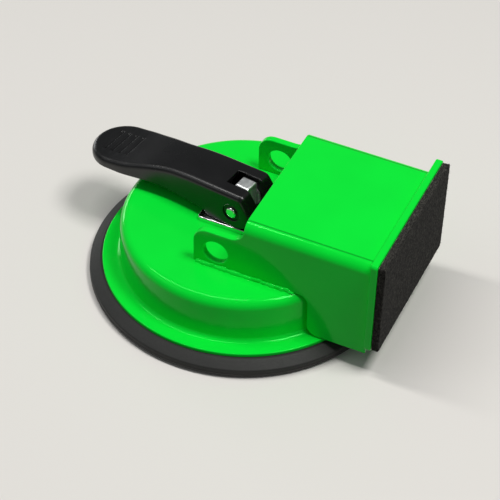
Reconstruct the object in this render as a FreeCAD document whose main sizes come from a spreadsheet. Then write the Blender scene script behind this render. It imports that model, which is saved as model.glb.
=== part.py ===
import FreeCAD, Part

import math
import os
import re
from types import SimpleNamespace

import Sketcher

# Suction lifter with a lever and a box bracket that ends in a padded strike plate.
#
# Frame: the origin is the centre of the rubber pad's sealing face, +Z is up, +X runs from
# the cup towards the strike plate.  The pieces round the stem are drawn square to the
# bracket and then turned about Z by `lever_turn`, because the stem and its lever stand
# turned in the hood.  Millimetres throughout.

os.makedirs("parts", exist_ok=True)
doc = FreeCAD.newDocument("suction_lifter")
V = FreeCAD.Vector
UP = V(0, 0, 1)
SPARE = 10.0  # how far a cutting outline runs past the piece it cuts

# Driving dimensions, each written once
SIZES = (
    # rubber pad
    ("pad_radius", 60.0, "outer radius of the rubber pad"),
    ("pad_edge", 3.8, "height of the pad's outer edge"),
    ("pad_seat", 6.1, "height of the pad under the hood's flange"),
    ("pad_bevel", 0.8, "bevel of the sealing lip"),
    ("pad_shoulder", 0.5, "rounded shoulder of the pad's outer edge"),
    ("pad_lap", 0.4, "pad's top outside the hood's flange"),
    ("pad_core", 6.0, "rubber under the insert plate"),
    ("pad_collar", 4.2, "radial width of the rubber collar round the insert"),
    ("pad_collar_lift", 0.3, "collar above the insert plate"),
    ("pad_collar_run", 2.0, "run of the collar's slope for each unit of its height"),
    ("seal_groove_inset", 9.0, "inner sealing groove inside the pad's edge"),
    ("seal_groove_step", 4.5, "from the inner to the outer sealing groove"),
    ("seal_groove_width", 1.4, "width of a sealing groove at its mouth"),
    ("seal_groove_depth", 0.7, "depth of a sealing groove"),
    # pressed hood
    ("flange_inset", 5.1, "hood's flange inside the pad's edge"),
    ("flange_width", 7.3, "hood's flange outside its wall"),
    ("hood_draft", 0.5, "how much wider the wall is at its foot"),
    ("hood_height", 20.4, "from the flange's underside to the hood's top"),
    ("hood_sheet", 1.5, "sheet of the hood"),
    ("hood_edge_radius", 4.0, "outer bend at the hood's top"),
    ("hood_foot_radius", 2.0, "outer bend at the hood's foot"),
    ("hood_rim_radius", 0.4, "rolled edge of the flange"),
    # wear plate under the lever's cheeks
    ("wear_length", 31.0, "wear plate along X"),
    ("wear_width", 20.2, "wear plate along Y"),
    ("wear_sheet", 2.0, "thickness of the wear plate"),
    ("wear_corner", 1.5, "corner radius of the wear plate"),
    ("wear_edge", 0.5, "rounded upper edge of the wear plate"),
    ("rivet_offset", 12.9, "rivets from the stem's axis"),
    ("rivet_shank", 1.5, "radius of a rivet's shank"),
    ("rivet_head", 2.5, "radius of a rivet's heads"),
    ("rivet_upset", 0.8, "thickness of the closing head"),
    ("rivet_fit", 0.05, "radial clearance round a rivet"),
    # guide bush
    ("bush_radius", 7.0, "outer radius of the guide bush"),
    ("bush_flange_radius", 9.8, "radius of the bush's flange"),
    ("bush_flange_sheet", 1.6, "thickness of the bush's flange"),
    ("bush_running", 0.08, "radial clearance of the turning bush"),
    ("bush_float", 0.2, "axial gap over and under the bush"),
    # stem and what it carries
    ("lever_turn", -9.0, "turn of the stem and lever about Z in degrees"),
    ("stem_width", 6.2, "side of the square stem"),
    ("stem_fit", 0.1, "clearance of each side of the stem in the bush"),
    ("stem_rise", 8.0, "stem above the pin's axis"),
    ("stem_crown", 1.1, "rounded upper edges of the stem"),
    ("spigot_radius", 3.0, "spigot riveted into the insert plate"),
    ("insert_radius", 18.0, "radius of the insert plate"),
    ("insert_sheet", 2.5, "thickness of the insert plate"),
    ("insert_gap", 0.2, "insert plate to rubber"),
    ("seat_radius", 9.5, "radius of the spring's seat washer"),
    ("seat_sheet", 1.0, "thickness of the seat washer"),
    ("seat_fit", 0.2, "seat washer round the stem's corners"),
    # return spring
    ("spring_radius", 6.7, "mean radius of the return spring"),
    ("spring_wire_width", 1.8, "flat wire of the return spring along its radius"),
    ("spring_wire_height", 1.1, "flat wire of the return spring along Z"),
    ("spring_turns", 4.5, "turns of the return spring"),
    ("spring_gap", 0.1, "spring to its seats"),
    # lever, seen from the pin's axis
    ("pin_height", 6.8, "pin's axis above the wear plate"),
    ("cam_gap", 0.2, "cheeks above the wear plate"),
    ("cam_rate", 1.4, "lift of the stem for each radian of the lever"),
    ("lever_rise", 8.9, "top of the lever above the pin"),
    ("lever_back", 4.2, "top of the lever behind the pin"),
    ("heel_flat", 0.6, "flat at the end of the cam"),
    ("heel_round", 3.0, "round at the back of the cheeks' top"),
    ("toe_reach", 10.8, "front end of the cheeks' flat"),
    ("toe_slant", 2.4, "length of the slant in front of the flat"),
    ("toe_rise", 2.1, "height of the slant in front of the flat"),
    ("toe_round", 0.8, "rounded corner between the flat and the slant"),
    ("toe_bend", 1.0, "hollow corner in front of the slant"),
    ("neck_reach", 28.5, "where the neck starts to fall"),
    ("neck_rise", 7.6, "neck above the pin there"),
    ("neck_bend_share", 0.49, "share of the neck's slope in the bend behind it"),
    ("neck_under", 3.1, "neck's lower edge below the pin"),
    ("neck_under_inset", 17.5, "highest point of the neck's lower edge behind the paddle"),
    ("neck_under_bend", 30.0, "bend of the neck's lower edge"),
    ("paddle_under_lap", 5.0, "paddle's flat underside starts in front of the paddle's start"),
    ("paddle_under_bend", 20.0, "bend of the lower edge at the paddle"),
    ("paddle_reach", 55.5, "where the paddle starts"),
    ("paddle_drop", 0.5, "paddle's top below the pin there"),
    ("paddle_bend_share", 0.36, "share of the neck's slope in the bend before the paddle"),
    ("paddle_length", 14.2, "tip of the lever in front of the paddle's start"),
    ("tip_drop", 1.2, "tip's top below the pin"),
    ("tip_under", 4.5, "tip's lower edge below the pin"),
    ("lever_width", 19.6, "lever over its cheeks"),
    ("cheek_run", 6.0, "full width over the cheeks in front of the slot"),
    ("cheek_blend", 30.0, "bend of the sides in front of the cheeks"),
    ("neck_width", 19.0, "lever at its neck"),
    ("neck_blend", 40.0, "bend of the sides at the neck"),
    ("neck_end", 31.0, "where the neck starts to widen"),
    ("paddle_width", 24.8, "lever at its paddle"),
    ("paddle_flare", 5.5, "full width reached behind the paddle's start"),
    ("paddle_blend", 30.0, "bend of the sides at the paddle"),
    ("lever_round", 2.2, "rounded upper edge of the lever"),
    ("neck_wall", 2.8, "side wall of the hollow neck"),
    ("neck_skin", 2.6, "top wall of the hollow neck"),
    ("hollow_start", 15.0, "back end of the neck's hollow"),
    ("hollow_inset", 4.5, "front end of the neck's hollow behind the paddle"),
    ("hollow_lift", 0.6, "hollow's roof higher at its back end"),
    ("hollow_bend_share", 0.65, "share of the hollow's flat roof in its bend"),
    ("hollow_back_round", 2.5, "rounded corner at the hollow's back end"),
    ("hollow_front_round", 1.0, "rounded corner at the hollow's front end"),
    ("slot_width", 7.8, "slot between the cheeks"),
    ("slot_reach", 6.0, "end of the slot in front of the pin"),
    ("head_clear", 0.35, "lever round the stem's turning head"),
    ("grip_count", 4, "grip grooves on the paddle"),
    ("grip_inset", 3.5, "first grip groove behind the paddle's start"),
    ("grip_margin", 7.5, "last grip groove behind the lever's tip"),
    ("grip_radius", 0.9, "radius of a grip groove"),
    ("grip_depth", 0.5, "depth of a grip groove"),
    ("grip_length", 12.0, "length of a grip groove"),
    # pivot
    ("pin_radius", 2.25, "radius of the pivot pin"),
    ("pin_dome", 0.7, "domed ends of the pivot pin"),
    ("pin_proud", 0.4, "pin's ends beyond the cheeks"),
    ("pin_running", 0.06, "radial clearance of the pin in the stem"),
    ("pin_seat", 0.02, "radial clearance of the pin in its bushes"),
    ("cheek_bush_radius", 3.6, "outer radius of the cheeks' bushes"),
    ("cheek_bush_sunk", 0.5, "bushes below the cheeks' sides"),
    ("cheek_bush_fit", 0.02, "radial clearance of the bushes"),
    ("spacer_radius", 4.6, "radius of the spacer washers"),
    ("spacer_gap", 0.1, "spacer washer to stem and to cheek"),
    # box bracket
    ("bracket_sheet", 2.8, "sheet of the bracket"),
    ("bracket_width", 60.4, "bracket over its sides"),
    ("bracket_start", 13.0, "where the bracket's top starts"),
    ("bracket_over", 3.2, "strike plate's back beyond the pad's edge"),
    ("bracket_rise", 25.1, "bracket's top above the hood"),
    ("bracket_bend", 4.6, "outer bend of the bracket"),
    ("skirt_gap", 0.4, "bracket's lower edge above the flange"),
    ("notch_clear", 2.6, "front of the notch clear of the hood's wall"),
    ("notch_round", 4.0, "upper corner of the notch"),
    ("notch_flare", 4.5, "lower corner of the notch"),
    ("ear_reach", 7.2, "ears behind the stem's axis"),
    ("ear_rise", 16.3, "ears above the hood"),
    ("ear_corner", 6.0, "rounded corner of the ears"),
    ("ear_fillet", 5.5, "hollow corner between ear and bracket"),
    ("ear_hole_radius", 5.0, "holes through the ears"),
    ("ear_hole_place", 1.9, "ear holes in front of the stem's axis"),
    ("ear_hole_rise", 7.1, "ear holes above the hood"),
    ("weld_leg", 2.0, "ears' weld beads along the hood"),
    ("weld_rise", 1.2, "ears' weld beads up the ears"),
    ("weld_inset", 0.6, "weld bead inside the ear's end"),
    ("weld_margin", 1.4, "weld bead short of the hood's upper bend"),
    ("weld_crown", 0.62, "share of both legs where the bead is crowned"),
    ("plate_weld_leg", 1.6, "leg of the weld behind the strike plate"),
    ("plate_weld_foot", 1.0, "weld's ends above the strike plate's lower edge"),
    ("plate_weld_round", 0.5, "hollow corners of the weld behind the strike plate"),
    # strike plate and its pad
    ("strike_sheet", 2.8, "thickness of the strike plate"),
    ("strike_over", 2.6, "strike plate beyond the bracket's sides"),
    ("strike_rise", 3.3, "strike plate above the bracket's top"),
    ("strike_height", 42.5, "strike plate along Z"),
    ("strike_corner", 1.5, "corner radius of the strike plate"),
    ("strike_edge", 0.5, "rounded edges of the strike plate"),
    ("glue_sheet", 0.2, "adhesive film behind the felt"),
    ("glue_inset", 0.8, "adhesive film inside the felt's edge"),
    ("felt_sheet", 2.7, "thickness of the felt"),
    ("felt_inset", 0.4, "felt inside the plate's edge"),
)

# Places that follow from the driving dimensions
PLACES = (
    # radii
    ("hood_flange_radius", "pad_radius - flange_inset", "edge of the hood's flange"),
    ("hood_radius", "hood_flange_radius - flange_width", "hood's wall at its top"),
    ("hood_foot", "hood_radius + hood_draft", "hood's wall at its foot"),
    ("bush_hole", "bush_radius + bush_running", "hole for the guide bush"),
    ("recess_radius", "insert_radius + insert_gap", "pad's recess for the insert plate"),
    ("collar_radius", "recess_radius + pad_collar", "pad's collar"),
    ("seal_radius", "pad_radius - seal_groove_inset", "inner sealing groove"),
    ("rivet_hole", "rivet_shank + rivet_fit", "holes for the rivets' shanks"),
    ("rivet_seat", "rivet_head + rivet_fit", "holes for the rivets' heads"),
    ("spigot_hole", "spigot_radius + rivet_fit", "insert plate's hole for the spigot"),
    ("seat_hole", "stem_width / sqrt(2) + seat_fit", "seat washer's hole"),
    ("pin_hole", "pin_radius + pin_running", "hole for the pivot pin"),
    ("cheek_hole", "cheek_bush_radius + cheek_bush_fit", "cheeks' holes for their bushes"),
    ("head_radius", "sqrt(pow(stem_rise; 2) + pow(half_stem; 2)) + head_clear",
     "room for the stem's head as the lever turns"),
    # half widths
    ("half_stem", "stem_width / 2", "stem from its middle"),
    ("half_bore", "half_stem + stem_fit", "guide bush's square bore from its middle"),
    ("half_slot", "slot_width / 2", "slot from its middle"),
    ("half_lever", "lever_width / 2", "cheeks' sides from the middle"),
    ("half_neck", "neck_width / 2", "neck's sides from the middle"),
    ("half_paddle", "paddle_width / 2", "paddle's sides from the middle"),
    ("half_pin", "half_lever + pin_proud", "pin's ends from the middle"),
    ("half_bracket", "bracket_width / 2", "bracket's sides from the middle"),
    ("bracket_inner", "half_bracket - bracket_sheet", "bracket's walls inside"),
    ("half_strike", "half_bracket + strike_over", "strike plate's sides from the middle"),
    # heights
    ("flange_top", "pad_seat + hood_sheet", "top of the hood's flange"),
    ("hood_top", "pad_seat + hood_height", "top of the hood"),
    ("hood_under", "hood_top - hood_sheet", "under the hood's top"),
    ("wear_top", "hood_top + wear_sheet", "top of the wear plate"),
    ("bush_top", "wear_top - bush_float", "top of the guide bush"),
    ("bush_step", "hood_under - bush_float", "top of the bush's flange"),
    ("bush_under", "bush_step - bush_flange_sheet", "underside of the guide bush"),
    ("insert_under", "pad_core + insert_gap", "underside of the insert plate"),
    ("insert_top", "insert_under + insert_sheet", "top of the insert plate"),
    ("collar_top", "insert_top + pad_collar_lift", "top of the pad's collar"),
    ("seat_top", "insert_top + seat_sheet", "top of the seat washer"),
    ("coil_low", "seat_top + spring_gap", "underside of the return spring"),
    ("coil_rise", "bush_under - spring_gap - spring_wire_height - coil_low",
     "from the spring's first turn to its last"),
    ("pin_level", "wear_top + pin_height", "pivot pin's axis"),
    ("stem_top", "pin_level + stem_rise", "top of the stem"),
    ("cam_start", "pin_height - cam_gap", "cheeks' flat below the pin"),
    ("bracket_top", "hood_top + bracket_rise", "top of the bracket"),
    ("bracket_roof", "bracket_top - bracket_sheet", "under the bracket's top"),
    ("skirt_level", "flange_top + skirt_gap", "lower edge of the bracket"),
    ("ear_top", "hood_top + ear_rise", "top of the ears"),
    ("strike_top", "bracket_top + strike_rise", "top of the strike plate"),
    ("strike_low", "strike_top - strike_height", "lower edge of the strike plate"),
    # along X, the lever's from the pin's axis
    ("lever_reach", "paddle_reach + paddle_length", "tip of the lever"),
    ("paddle_start", "paddle_reach - paddle_flare", "where the paddle has its full width"),
    ("hollow_end", "paddle_reach - hollow_inset", "front end of the neck's hollow"),
    ("bracket_end", "pad_radius + bracket_over", "end of the bracket"),
    ("notch_reach", "sqrt(pow(hood_radius; 2) - pow(half_bracket; 2)) + notch_clear",
     "front of the notch over the hood"),
    ("weld_start", "weld_inset - ear_reach", "back end of the ears' welds"),
    ("weld_end", "sqrt(pow(hood_radius - hood_edge_radius; 2)"
     " - pow(half_bracket + weld_leg; 2)) - weld_margin", "front end of the ears' welds"),
    ("glue_back", "bracket_end + strike_sheet", "back of the adhesive film"),
    ("felt_back", "glue_back + glue_sheet", "back of the felt"),
)
HOLDERS = {alias: "Sizes" for alias, _, _ in SIZES}
HOLDERS.update({name: "Places" for name, _, _ in PLACES})


def bound(formula):
    """The formula with each name led by the document object that holds it."""
    def lead(match):
        return "%s.%s" % (HOLDERS[match.group()], match.group())
    return re.sub(r"[a-z]+(_[a-z]+)+", lead, str(formula))


sheet = doc.addObject("Spreadsheet::Sheet", "Sizes")
for row, (alias, value, note) in enumerate(SIZES, 1):
    sheet.set("A%d" % row, alias)
    sheet.set("B%d" % row, str(value))
    sheet.set("C%d" % row, note)
    sheet.setAlias("B%d" % row, alias)
doc.recompute()
places = doc.addObject("App::VarSet", "Places")
for name, formula, note in PLACES:
    places.addProperty("App::PropertyFloat", name, "Places", note)
for name, formula, note in PLACES:
    places.setExpression(name, bound(formula))
doc.recompute()
size = SimpleNamespace(
    **{alias: float(sheet.get(alias)) for alias, _, _ in SIZES},
    **{name: getattr(places, name) for name, _, _ in PLACES})


# ---------------------------------------------------------------- drawing helpers

def corner_arc(before, corner, after, radius):
    """Tangent points, centre and turn of the arc that rounds one corner."""
    to_before = (before - corner).normalize()
    to_after = (after - corner).normalize()
    half = to_before.getAngle(to_after) / 2
    reach = radius / math.tan(half)
    middle = (to_before + to_after).normalize()
    centre = corner + middle * (radius / math.sin(half))
    turn = to_before.cross(to_after).z
    return corner + to_before * reach, corner + to_after * reach, centre, turn


def outline(corners, closed=True):
    """Lines and arcs through corners given as (x, y) or (x, y, radius)."""
    points = [V(c[0], c[1], 0) for c in corners]
    radii = [c[2] if len(c) > 2 else 0.0 for c in corners]
    count = len(points)
    shapes, starts, ends = [], [], []
    for i, point in enumerate(points):
        if radii[i] and (closed or 0 < i < count - 1):
            first, last, centre, turn = corner_arc(
                points[i - 1], point, points[(i + 1) % count], radii[i])
            a, b = (first, last) if turn < 0 else (last, first)
            shapes.append(Part.ArcOfCircle(
                Part.Circle(centre, UP, radii[i]),
                math.atan2(a.y - centre.y, a.x - centre.x),
                math.atan2(b.y - centre.y, b.x - centre.x)))
            starts.append(first)
            ends.append(last)
        else:
            starts.append(point)
            ends.append(point)
    for i in range(count if closed else count - 1):
        here, there = ends[i], starts[(i + 1) % count]
        if (there - here).Length > 1e-6:
            shapes.append(Part.LineSegment(here, there))
    return shapes


def new_body(label, turned=False, height="0"):
    """A body named after its piece; `turned` ones follow the stem's turn."""
    body = doc.addObject("PartDesign::Body", label)
    body.Label = label
    body.Placement = FreeCAD.Placement(V(), FreeCAD.Rotation(UP, 1 if turned else 0))
    body.setExpression("Placement.Base.z", bound(height))
    if turned:
        body.setExpression("Placement.Rotation.Angle", bound("lever_turn"))
    return body


def plane_of(body, role):
    """The body's own plane with that role."""
    for feature in body.Origin.OriginFeatures:
        if feature.Role == role:
            return feature
    raise ValueError("no plane " + role)


def new_sketch(body, role, geometry=(), shift="0"):
    """A sketch on one of the body's planes, moved along its normal by the formula."""
    sketch = body.newObject("Sketcher::SketchObject", body.Name + "_sketch")
    sketch.AttachmentSupport = [(plane_of(body, role), "")]
    sketch.MapMode = "FlatFace"
    sketch.setExpression("AttachmentOffset.Base.z", bound(shift))
    for shape in geometry:
        sketch.addGeometry(shape, False)
    return sketch


def hold(sketch, kind, index, end, formula):
    """Binds a point's distance from the sketch's origin along X or Y to a formula."""
    number = sketch.addConstraint(Sketcher.Constraint(kind, -1, 1, index, end, 1.0))
    sketch.setExpression("Constraints[%d]" % number, bound(formula))


def circle(sketch, radius, x="0", y="0"):
    """A circle whose radius and centre are bound to formulas."""
    index = sketch.addGeometry(Part.Circle(V(1, 1, 0), UP, 1.0), False)
    number = sketch.addConstraint(Sketcher.Constraint("Radius", index, 1.0))
    sketch.setExpression("Constraints[%d]" % number, bound(radius))
    hold(sketch, "DistanceX", index, 3, x)
    hold(sketch, "DistanceY", index, 3, y)


def rectangle(sketch, left, right, low, high):
    """An upright rectangle whose four sides are bound to formulas."""
    corners = [V(-1, -1, 0), V(1, -1, 0), V(1, 1, 0), V(-1, 1, 0)]
    for i, corner in enumerate(corners):
        sketch.addGeometry(Part.LineSegment(corner, corners[(i + 1) % 4]), False)
    for i in range(4):
        sketch.addConstraint(Sketcher.Constraint("Coincident", i, 2, (i + 1) % 4, 1))
    for i, kind in enumerate(("Horizontal", "Vertical", "Horizontal", "Vertical")):
        sketch.addConstraint(Sketcher.Constraint(kind, i))
    hold(sketch, "DistanceX", 0, 1, left)
    hold(sketch, "DistanceY", 0, 1, low)
    hold(sketch, "DistanceX", 2, 1, right)
    hold(sketch, "DistanceY", 2, 1, high)


def extrude(body, kind, sketch, length, symmetric=False, reverse=False):
    """A Pad or Pocket whose length is bound to a formula."""
    feature = body.newObject("PartDesign::" + kind, body.Name + "_" + kind.lower())
    feature.Profile = (sketch, [""])
    feature.setExpression("Length", bound(length))
    feature.SideType = "Symmetric" if symmetric else "One side"
    feature.Reversed = reverse
    sketch.Visibility = False
    doc.recompute()
    return feature


def cut(body, sketch, length, symmetric=False, reverse=False):
    """A Pocket that has to take something away."""
    before = body.Shape.Volume
    feature = extrude(body, "Pocket", sketch, length, symmetric, reverse)
    assert body.Shape.Volume < before - 1e-3, body.Label + ": a pocket cut nothing"
    return feature


def revolve(body, sketch):
    """A full turn of the sketch about the sketch's own vertical axis."""
    feature = body.newObject("PartDesign::Revolution", body.Name + "_revolution")
    feature.Profile = (sketch, [""])
    feature.ReferenceAxis = (sketch, ["V_Axis"])
    feature.Angle = 360
    sketch.Visibility = False
    doc.recompute()
    return feature


def round_edges(body, radius, wanted):
    """Fillets the edges that the test `wanted` accepts by middle point and edge."""
    base = body.Tip
    names = []
    for number, edge in enumerate(base.Shape.Edges, 1):
        middle = edge.valueAt((edge.FirstParameter + edge.LastParameter) / 2)
        if wanted(middle, edge):
            names.append("Edge%d" % number)
    assert names, body.Label + ": no edge to round"
    feature = body.newObject("PartDesign::Fillet", body.Name + "_fillet")
    feature.Base = (base, names)
    feature.setExpression("Radius", bound(radius))
    doc.recompute()
    return feature


# ---------------------------------------------------------------- rubber pad

def groove_at(radius):
    """One sealing groove in the pad's underside, as corners of the profile."""
    half = size.seal_groove_width / 2
    return [(radius - half, 0), (radius - half / 2, size.seal_groove_depth),
            (radius + half / 2, size.seal_groove_depth), (radius + half, 0)]


collar_slope = size.pad_collar_run * (size.collar_top - size.pad_seat)
suction_pad = new_body("suction_pad")
revolve(suction_pad, new_sketch(suction_pad, "XZ_Plane", outline([
    (0, 0),
    *groove_at(size.seal_radius),
    *groove_at(size.seal_radius + size.seal_groove_step),
    (size.pad_radius - size.pad_bevel, 0),
    (size.pad_radius, size.pad_bevel),
    (size.pad_radius, size.pad_edge, size.pad_shoulder),
    (size.hood_flange_radius + size.pad_lap, size.pad_seat),
    (size.collar_radius + collar_slope, size.pad_seat),
    (size.collar_radius, size.collar_top),
    (size.recess_radius, size.collar_top),
    (size.recess_radius, size.pad_core),
    (0, size.pad_core)])))

# ---------------------------------------------------------------- pressed hood

hood = new_body("hood")
revolve(hood, new_sketch(hood, "XZ_Plane", outline([
    (size.hood_flange_radius, size.pad_seat),
    (size.hood_flange_radius, size.flange_top, size.hood_rim_radius),
    (size.hood_foot, size.flange_top, size.hood_foot_radius),
    (size.hood_radius, size.hood_top, size.hood_edge_radius),
    (size.bush_hole, size.hood_top),
    (size.bush_hole, size.hood_under),
    (size.hood_radius - size.hood_sheet, size.hood_under,
     size.hood_edge_radius - size.hood_sheet),
    (size.hood_foot - size.hood_sheet, size.pad_seat,
     size.hood_foot_radius + size.hood_sheet)])))
rivet_holes = new_sketch(hood, "XY_Plane", shift="hood_top")
circle(rivet_holes, "rivet_hole", "rivet_offset")
circle(rivet_holes, "rivet_hole", "-rivet_offset")
cut(hood, rivet_holes, "2 * hood_sheet", symmetric=True)

# ---------------------------------------------------------------- wear plate and rivets

wear_plate = new_body("wear_plate")
wear_outline = new_sketch(wear_plate, "XY_Plane", shift="hood_top")
rectangle(wear_outline, "-wear_length / 2", "wear_length / 2", "-wear_width / 2", "wear_width / 2")
extrude(wear_plate, "Pad", wear_outline, "wear_sheet")
round_edges(wear_plate, "wear_corner", lambda p, e: e.BoundBox.ZLength > size.wear_sheet / 2)
round_edges(wear_plate, "wear_edge", lambda p, e: abs(p.z - size.wear_top) < 1e-4)
plate_holes = new_sketch(wear_plate, "XY_Plane", shift="hood_top")
circle(plate_holes, "bush_hole")
circle(plate_holes, "rivet_seat", "rivet_offset")
circle(plate_holes, "rivet_seat", "-rivet_offset")
cut(wear_plate, plate_holes, "wear_sheet", reverse=True)

rivet_profile = [
    (0, size.hood_under - size.rivet_upset),
    (size.rivet_shank, size.hood_under - size.rivet_upset),
    (size.rivet_head, size.hood_under),
    (size.rivet_shank, size.hood_under),
    (size.rivet_shank, size.hood_top),
    (size.rivet_head, size.hood_top),
    (size.rivet_head, size.wear_top),
    (0, size.wear_top)]
rivet_section = Part.Face(Part.makePolygon([V(x, 0, z) for x, z in rivet_profile], True))
rivet = rivet_section.revolve(V(), UP, 360)
wear_plate_rivets = doc.addObject("Part::Feature", "wear_plate_rivets")
wear_plate_rivets.Label = "wear_plate_rivets"
wear_plate_rivets.Shape = Part.Compound(
    [rivet.translated(V(side * size.rivet_offset, 0, 0)) for side in (-1, 1)])
wear_plate_rivets.Placement = FreeCAD.Placement()

# ---------------------------------------------------------------- guide bush

guide_bush = new_body("guide_bush", turned=True)
revolve(guide_bush, new_sketch(guide_bush, "XZ_Plane", outline([
    (0, size.bush_under),
    (size.bush_flange_radius, size.bush_under),
    (size.bush_flange_radius, size.bush_step),
    (size.bush_radius, size.bush_step),
    (size.bush_radius, size.bush_top),
    (0, size.bush_top)])))
square_bore = new_sketch(guide_bush, "XY_Plane", shift="bush_under")
rectangle(square_bore, "-half_bore", "half_bore", "-half_bore", "half_bore")
cut(guide_bush, square_bore, "bush_top - bush_under", reverse=True)

# ---------------------------------------------------------------- stem, insert, spring

stem = new_body("stem", turned=True)
stem_section = new_sketch(stem, "XY_Plane", shift="insert_top")
rectangle(stem_section, "-half_stem", "half_stem", "-half_stem", "half_stem")
extrude(stem, "Pad", stem_section, "stem_top - insert_top")
round_edges(stem, "stem_crown", lambda p, e: abs(p.z - size.stem_top) < 1e-4)
spigot = new_sketch(stem, "XY_Plane", shift="insert_top")
circle(spigot, "spigot_radius")
extrude(stem, "Pad", spigot, "insert_sheet", reverse=True)
pin_bore = new_sketch(stem, "XZ_Plane")
circle(pin_bore, "pin_hole", y="pin_level")
cut(stem, pin_bore, "2 * stem_width", symmetric=True)

pad_insert_plate = new_body("pad_insert_plate", turned=True)
insert_disc = new_sketch(pad_insert_plate, "XY_Plane", shift="insert_under")
circle(insert_disc, "insert_radius")
circle(insert_disc, "spigot_hole")
extrude(pad_insert_plate, "Pad", insert_disc, "insert_sheet")

spring_seat = new_body("spring_seat", turned=True)
seat_disc = new_sketch(spring_seat, "XY_Plane", shift="insert_top")
circle(seat_disc, "seat_radius")
circle(seat_disc, "seat_hole")
extrude(spring_seat, "Pad", seat_disc, "seat_sheet")

return_spring = new_body("return_spring", turned=True)
wire_section = new_sketch(return_spring, "XZ_Plane")
rectangle(wire_section, "spring_radius - spring_wire_width / 2",
          "spring_radius + spring_wire_width / 2", "coil_low", "coil_low + spring_wire_height")
doc.recompute()
coil = return_spring.newObject("PartDesign::AdditiveHelix", "return_spring_coil")
coil.Profile = (wire_section, [""])
coil.ReferenceAxis = (wire_section, ["V_Axis"])
coil.Mode = "height-turns-angle"
coil.setExpression("Height", bound("coil_rise"))
coil.setExpression("Turns", bound("spring_turns"))
coil.Angle = 0
wire_section.Visibility = False
doc.recompute()

# ---------------------------------------------------------------- lever

# The cheeks roll on the wear plate.  Their edge is the involute whose distance from the
# pin's axis grows by `cam_rate` for each radian, so the stem rises evenly as the lever
# is raised, and the gap to the wear plate stays the same all the way.
CAM_TURN = math.pi / 2
CAM_STEPS = 8


def cam_point(angle):
    """Point of the cheek's edge that faces the wear plate with the lever at `angle`."""
    height = size.cam_start + size.cam_rate * angle
    return V(height * math.sin(angle) + size.cam_rate * math.cos(angle),
             -height * math.cos(angle) + size.cam_rate * math.sin(angle), 0)


def bend_radius(before, corner, after, share):
    """Radius of a bend whose tangent takes `share` of the side after its corner."""
    to_before, to_after = before - corner, after - corner
    return share * to_after.Length * math.tan(to_before.getAngle(to_after) / 2)


cam_end = cam_point(CAM_TURN)
tip_x = -size.lever_reach - SPARE
back_top = V(size.lever_back, size.lever_rise)
neck_top = V(-size.neck_reach, size.neck_rise)
paddle_top = V(-size.paddle_reach, -size.paddle_drop)
tip_top = V(-size.lever_reach, -size.tip_drop)
neck_bend = bend_radius(back_top, neck_top, paddle_top, size.neck_bend_share)
paddle_bend = bend_radius(tip_top, paddle_top, neck_top, size.paddle_bend_share)
paddle_slope = (paddle_top.y - tip_top.y) / (paddle_top.x - tip_top.x)
tip_under = -size.tip_under
side_outline = outline([
    (cam_end.x, cam_end.y),
    (cam_end.x, cam_end.y + size.heel_flat),
    (back_top.x, back_top.y, size.heel_round),
    (neck_top.x, neck_top.y, neck_bend),
    (paddle_top.x, paddle_top.y, paddle_bend),
    (tip_x, tip_top.y + paddle_slope * (tip_x - tip_top.x)),
    (tip_x, tip_under),
    (-size.paddle_reach - size.paddle_under_lap, tip_under, size.paddle_under_bend),
    (size.neck_under_inset - size.paddle_reach, -size.neck_under, size.neck_under_bend),
    (-size.toe_reach - size.toe_slant, size.toe_rise - size.cam_start, size.toe_bend),
    (-size.toe_reach, -size.cam_start, size.toe_round),
    (size.cam_rate, -size.cam_start)], closed=False)
cam_curve = Part.BSplineCurve()
cam_curve.interpolate([cam_point(CAM_TURN * i / CAM_STEPS) for i in range(CAM_STEPS + 1)])
lever = new_body("lever", turned=True, height="pin_level")
extrude(lever, "Pad", new_sketch(lever, "XZ_Plane", side_outline + [cam_curve]),
        "2 * paddle_width", symmetric=True)

back_x = cam_end.x + SPARE
plan = outline([
    (back_x, -size.half_lever),
    (-size.slot_reach - size.cheek_run, -size.half_lever, size.cheek_blend),
    (-size.neck_end, -size.half_neck, size.neck_blend),
    (-size.paddle_start, -size.half_paddle, size.paddle_blend),
    (-size.lever_reach, -size.half_paddle, size.half_paddle),
    (-size.lever_reach, size.half_paddle, size.half_paddle),
    (-size.paddle_start, size.half_paddle, size.paddle_blend),
    (-size.neck_end, size.half_neck, size.neck_blend),
    (-size.slot_reach - size.cheek_run, size.half_lever, size.cheek_blend),
    (back_x, size.half_lever)])
around = outline([(tip_x - SPARE, -size.paddle_width - SPARE),
                  (back_x + SPARE, -size.paddle_width - SPARE),
                  (back_x + SPARE, size.paddle_width + SPARE),
                  (tip_x - SPARE, size.paddle_width + SPARE)])
cut(lever, new_sketch(lever, "XY_Plane", plan + around), "4 * lever_rise", symmetric=True)


def on_top_rim(shape):
    """Test for the edges where the lever's top meets its side walls."""
    def wanted(middle, edge):
        slopes = []
        for face in shape.ancestorsOfType(edge, Part.Face):
            u, v = face.Surface.parameter(middle)
            slopes.append(face.normalAt(u, v).z)
        return max(slopes) > 0.6 and min(abs(slope) for slope in slopes) < 0.1
    return wanted


round_edges(lever, "lever_round", on_top_rim(lever.Tip.Shape))

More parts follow.
